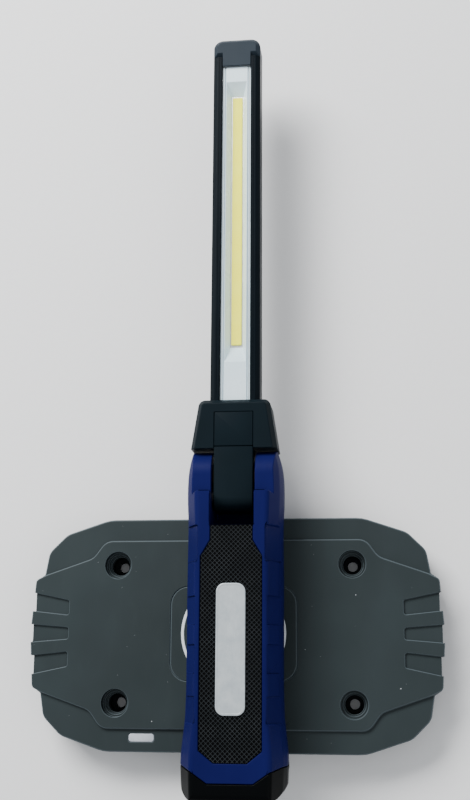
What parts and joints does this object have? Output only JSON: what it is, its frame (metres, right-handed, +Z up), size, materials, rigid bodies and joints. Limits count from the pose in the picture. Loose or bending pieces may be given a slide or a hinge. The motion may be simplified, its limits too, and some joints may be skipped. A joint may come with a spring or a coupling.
{
  "type": "folding work light with wireless charging pad",
  "caption": "Slim LED inspection light whose bar folds on a hinged handle, lying on the flat wireless charging pad that recharges it.",
  "frame": {"origin": "centre of the charging pad's flat underside", "axes": "+Z up, out of the pad's charging surface; +Y along the light, from the handle's base to the bar's tip; +X to the right seen from above with the bar's tip at the top"},
  "size_m": [0.2046, 0.3852, 0.0526],
  "materials": {
    "pad_cover": "fine moulded grain",
    "pad_base": "moulded",
    "ring_print": "printed",
    "indicator": "translucent",
    "circuit_board": "solder resist",
    "copper": "enamelled wire",
    "ferrite": "sintered",
    "steel": "plated",
    "magnet": "nickel plated",
    "blue_shell": "satin with fine grain",
    "black_plastic": "satin",
    "grip": "knurled",
    "badge": "satin",
    "cell": "shrink wrap",
    "bar_black": "satin",
    "aluminium": "milled",
    "reflector": "satin white",
    "phosphor": "silicone",
    "lens": "clear",
    "tip": "satin",
    "bronze": "turned"
  },
  "bodies": {
    "charging_pad": {"pad_top_cover": "pad_cover", "pad_base_cover": "pad_base", "target_ring": "ring_print", "indicator_window": "indicator", "pad_circuit_board": "circuit_board", "transmitter_coil": "copper", "transmitter_ferrite": "ferrite", "pad_input_socket": "steel", "pad_magnet_1": "magnet", "pad_magnet_2": "magnet", "pad_screw_1": "steel", "pad_screw_2": "steel", "pad_screw_3": "steel", "pad_screw_4": "steel"},
    "handle": {"front_shell": "blue_shell", "rear_shell": "blue_shell", "base_cap": "black_plastic", "grip_panel": "grip", "badge_plate": "badge", "battery_cell": "cell", "cell_contact_upper": "steel", "cell_contact_lower": "steel", "lamp_circuit_board": "circuit_board", "tactile_switch": "black_plastic", "receiver_coil": "copper", "receiver_ferrite": "ferrite", "base_magnet": "magnet", "hinge_pin": "steel", "hook_pivot": "steel", "rear_magnet_1": "magnet", "rear_magnet_2": "magnet", "friction_washer_1": "bronze", "friction_washer_2": "bronze", "shell_screw_1": "steel", "shell_screw_2": "steel", "shell_screw_3": "steel", "shell_screw_4": "steel"},
    "light_bar": {"hinge_knuckle": "black_plastic", "collar_front": "black_plastic", "collar_rear": "black_plastic", "collar_cover": "black_plastic", "bar_frame": "bar_black", "tip_cap": "tip", "heat_sink": "aluminium", "led_board": "aluminium", "cob_strip": "phosphor", "reflector": "reflector", "lens": "lens", "collar_screw_1": "steel", "collar_screw_2": "steel"},
    "hook": {"hanging_hook": "black_plastic"},
    "button": {"power_button": "black_plastic"}
  },
  "joints": [
    {"name": "lift_off_pad", "type": "slide", "parent": "charging_pad", "child": "handle", "axis": [0, 0, 1], "range_m": [0, 0.1]},
    {"name": "bar_fold", "type": "hinge", "parent": "handle", "child": "light_bar", "pos_m": [0.0029, 0.0741, 0.0353], "axis": [1, 0, 0], "range_deg": [-75, 75]},
    {"name": "hook_swing", "type": "hinge", "parent": "handle", "child": "hook", "pos_m": [-0.0111, -0.064, 0.0205], "axis": [0, 0, 1], "range_deg": [-90, 0]},
    {"name": "button_press", "type": "slide", "parent": "handle", "child": "button", "axis": [0, 0, 1], "range_m": [0, 0.001], "stiffness_N_per_m": 500, "springref_m": -0.002}
  ]
}
